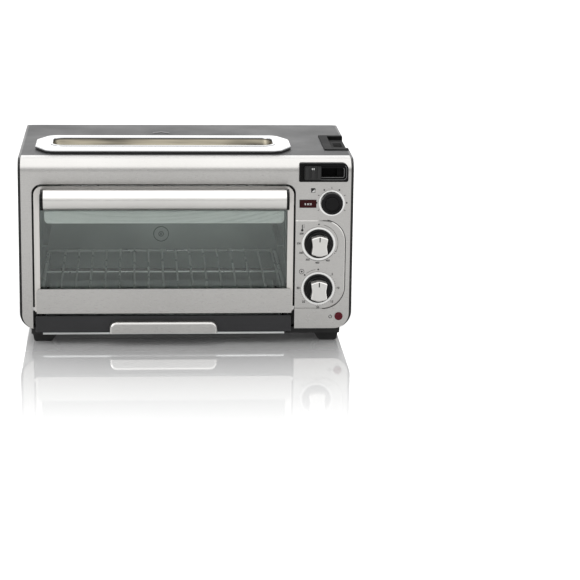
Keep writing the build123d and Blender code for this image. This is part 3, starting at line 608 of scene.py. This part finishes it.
# ---- stage, light and camera --------------------------------------------------------------
def stage():
    """White glossy table that glows with painted light of its own, weak near the oven and strong far off; its
    mirror image of the oven fades with distance from it.
    """
    size, fade_length, mirror_share = 30, 0.40, 0.64
    near_glow, far_glow, glow_start, glow_stop = 0.08, 0.5, 0.5, 2.5  # painted glow of the table itself, by distance in metres from the origin under the oven: weak near it, strong far off
    mesh = bpy.data.meshes.new("floor")
    mesh.from_pydata([(-size, -size, 0), (size, -size, 0), (size, size, 0), (-size, size, 0)], [],
                     [(0, 1, 2, 3)])
    floor = bpy.data.objects.new("floor", mesh)
    bpy.context.collection.objects.link(floor)
    shader = Shader("floor_white", (0.44, 0.44, 0.44), 0.9, Specular_IOR_Level=0.0,
                    Emission_Color=(1, 1, 1, 1))
    # painted glow: the table's emission grows with its distance from the oven
    reach = shader.nodes.new("ShaderNodeVectorMath")
    reach.operation = "LENGTH"
    shader.links.new(shader.place, reach.inputs[0])
    shader.links.new(shader.spread(reach.outputs["Value"], near_glow, far_glow, glow_start, glow_stop),
                     shader.base.inputs["Emission Strength"])
    mirror = shader.nodes.new("ShaderNodeBsdfGlossy")
    mirror.inputs["Roughness"].default_value = 0.03
    mirror.inputs["Color"].default_value = (0.95, 0.95, 0.95, 1)
    split = shader.nodes.new("ShaderNodeSeparateXYZ")
    shader.links.new(shader.place, split.inputs["Vector"])
    near = shader.spread(split.outputs["Y"], 0.0, mirror_share, FRONT_Y - fade_length, FRONT_Y)
    facing = shader.nodes.new("ShaderNodeLayerWeight")
    share = shader.nodes.new("ShaderNodeMath")
    share.operation = "MULTIPLY"
    shader.links.new(near, share.inputs[0])
    shader.links.new(shader.spread(facing.outputs["Facing"], 0.1, 1.0, 0.4, 0.74), share.inputs[1])
    mix = shader.nodes.new("ShaderNodeMixShader")
    shader.links.new(share.outputs["Value"], mix.inputs["Fac"])
    shader.links.new(shader.base.outputs["BSDF"], mix.inputs[1])
    shader.links.new(mirror.outputs["BSDF"], mix.inputs[2])
    shader.links.new(mix.outputs["Shader"], shader.nodes["Material Output"].inputs["Surface"])
    mesh.materials.append(shader.material)


def lights():
    """Soft white dome, dim low in front and bright overhead, a soft box on the left and one behind."""
    world = bpy.data.worlds.new("studio")
    bpy.context.scene.world = world
    world.use_nodes = True
    nodes, links = world.node_tree.nodes, world.node_tree.links
    split = nodes.new("ShaderNodeSeparateXYZ")
    links.new(nodes.new("ShaderNodeTexCoord").outputs["Generated"], split.inputs["Vector"])
    to_front = nodes.new("ShaderNodeMath")
    to_front.operation = "MULTIPLY"
    to_front.inputs[1].default_value = -1
    links.new(split.outputs["Y"], to_front.inputs[0])
    rise = nodes.new("ShaderNodeMath")
    rise.operation = "ARCTAN2"
    links.new(split.outputs["Z"], rise.inputs[0])
    links.new(to_front.outputs["Value"], rise.inputs[1])
    part = nodes.new("ShaderNodeMapRange")
    part.inputs["From Max"].default_value = math.pi
    links.new(rise.outputs["Value"], part.inputs["Value"])
    ramp = nodes.new("ShaderNodeValToRGB")
    dome = ((0, 0.30), (20, 0.34), (38, 1.0), (135, 1.0), (158, 0.55), (180, 0.5))
    while len(ramp.color_ramp.elements) < len(dome):
        ramp.color_ramp.elements.new(0.5)
    for element, (degrees, level) in zip(ramp.color_ramp.elements, dome):
        element.position = degrees / 180
        element.color = (level, level, level, 1)
    links.new(part.outputs["Result"], ramp.inputs["Fac"])
    links.new(ramp.outputs["Color"], nodes["Background"].inputs["Color"])
    nodes["Background"].inputs["Strength"].default_value = 2.5

    for name, place, size, power in (("soft_box", (-1.7, -1.1, 1.3), (1.2, 1.0), 14),
                                     ("rear_box", (-0.25, 1.5, 0.62), (1.6, 0.35), 1.6)):
        light = bpy.data.lights.new(name, "AREA")
        light.shape = "RECTANGLE"
        light.size, light.size_y = size
        light.energy = power
        lamp = bpy.data.objects.new(name, light)
        lamp.location = place
        lamp.rotation_euler = (Vector((0, 0, 0.2)) - lamp.location).to_track_quat("-Z", "Y").to_euler()
        bpy.context.collection.objects.link(lamp)


def camera():
    """Long lens in front of the oven, a little to the left and above."""
    pitch, yaw, roll = 0.2401, 0.0700, 0.0132
    lens_to_width = 3.803
    cam = bpy.data.cameras.new("camera")
    cam.sensor_width = 36
    cam.lens = cam.sensor_width * lens_to_width
    cam.clip_end = 100
    obj = bpy.data.objects.new("camera", cam)
    bpy.context.collection.objects.link(obj)
    forward = Vector((math.sin(yaw) * math.cos(pitch), math.cos(yaw) * math.cos(pitch), -math.sin(pitch)))
    level = Vector((math.cos(yaw), -math.sin(yaw), 0))
    upright = level.cross(forward)
    right = level * math.cos(roll) + upright * math.sin(roll)
    up = upright * math.cos(roll) - level * math.sin(roll)
    turn = Matrix((right, up, -forward)).transposed().to_4x4()
    obj.matrix_world = Matrix.Translation((-0.0588, FRONT_Y - 2.7128, 0.7360)) @ turn
    bpy.context.scene.camera = obj


finish_cad_nodes()
dial_marks()
icons()
selector_rim_highlights()
field_edge_shade()
wall_pressing_shade()
cover_chevron()
knob_pointers()
return_spring()
stage()
lights()
camera()
bpy.context.scene.view_settings.view_transform = "Standard"
